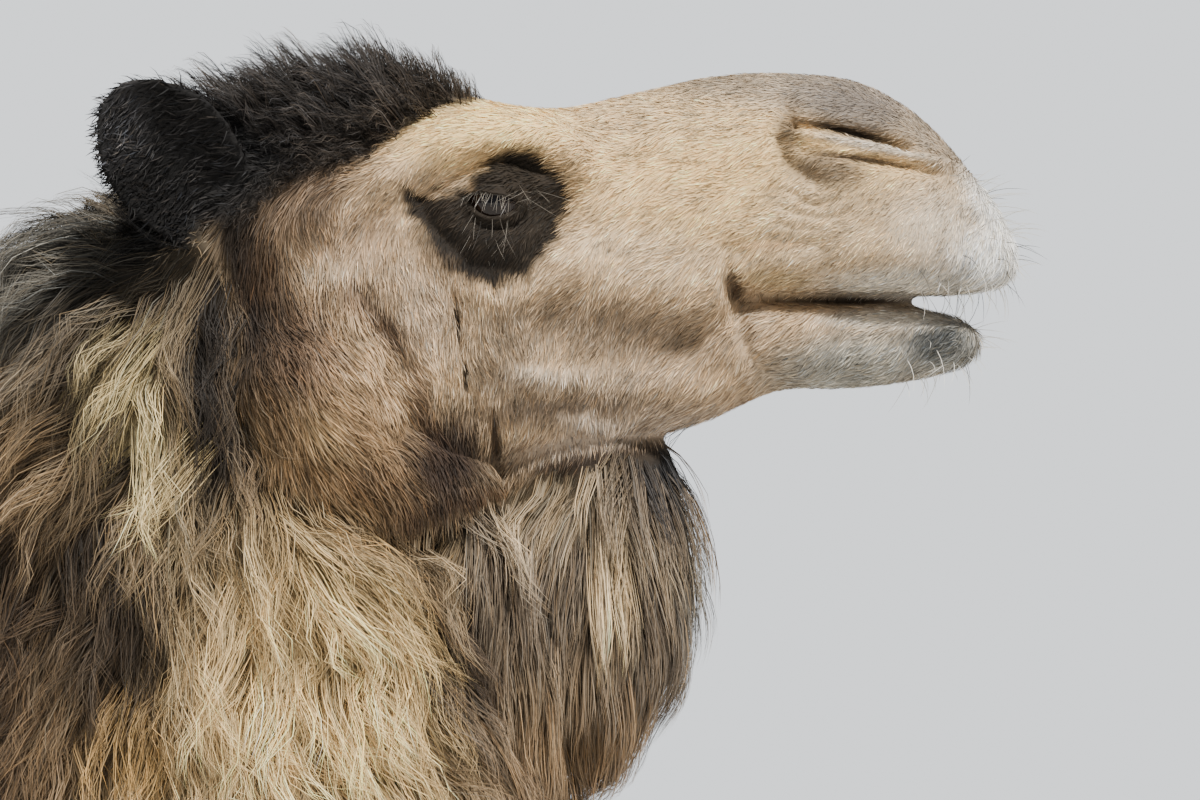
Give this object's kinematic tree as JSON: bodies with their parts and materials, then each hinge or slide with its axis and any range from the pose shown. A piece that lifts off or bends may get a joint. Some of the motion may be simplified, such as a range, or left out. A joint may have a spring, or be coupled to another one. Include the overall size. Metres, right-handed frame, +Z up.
{
  "type": "bactrian camel",
  "caption": "Standing two-humped camel with a level head, long throat beard, dark crown and ears, and a shaggy coat.",
  "frame": {"origin": "on the floor, under the middle of the whole animal's box", "axes": "+X the way the camel looks, +Y its left side, +Z up"},
  "size_m": [2.7014, 0.717, 2.1395],
  "materials": {
    "body": "matt, shaggy brown coat of the trunk, humps and legs",
    "face": "matt, short sandy coat of the face and jaw",
    "mane": "matt, long wavy hair of the neck, throat and tail",
    "dark": "matt, near-black hair of the crown and ears",
    "eye": "wet gloss",
    "nail": "satin horn",
    "skin": "matt bare skin of the lids, nostrils, lips and soles"
  },
  "bodies": {
    "root": {"head_cranium": "face", "head_muzzle": "face", "lower_jaw": "face", "ear_left": "dark", "eye_left": "eye", "ear_right": "dark", "eye_right": "eye", "throat_beard": "mane", "neck_upper": "mane", "neck_middle": "mane", "neck_lower": "mane", "tail_tuft": "mane", "hump_front": "body", "hump_rear": "body", "tail_dock": "body", "chest_pad": "body", "trunk_chest": "body", "trunk_barrel": "body", "trunk_rump": "body", "foreleg_foot_left": "body", "foreleg_cannon_left": "body", "foreleg_forearm_left": "body", "foreleg_shoulder_left": "body", "hindleg_foot_left": "body", "hindleg_cannon_left": "body", "hindleg_gaskin_left": "body", "hindleg_thigh_left": "body", "foreleg_left_nail_outer": "nail", "foreleg_left_nail_inner": "nail", "hindleg_left_nail_outer": "nail", "hindleg_left_nail_inner": "nail", "foreleg_foot_right": "body", "foreleg_cannon_right": "body", "foreleg_forearm_right": "body", "foreleg_shoulder_right": "body", "hindleg_foot_right": "body", "hindleg_cannon_right": "body", "hindleg_gaskin_right": "body", "hindleg_thigh_right": "body", "foreleg_right_nail_outer": "nail", "foreleg_right_nail_inner": "nail", "hindleg_right_nail_outer": "nail", "hindleg_right_nail_inner": "nail"}
  },
  "joints": []
}
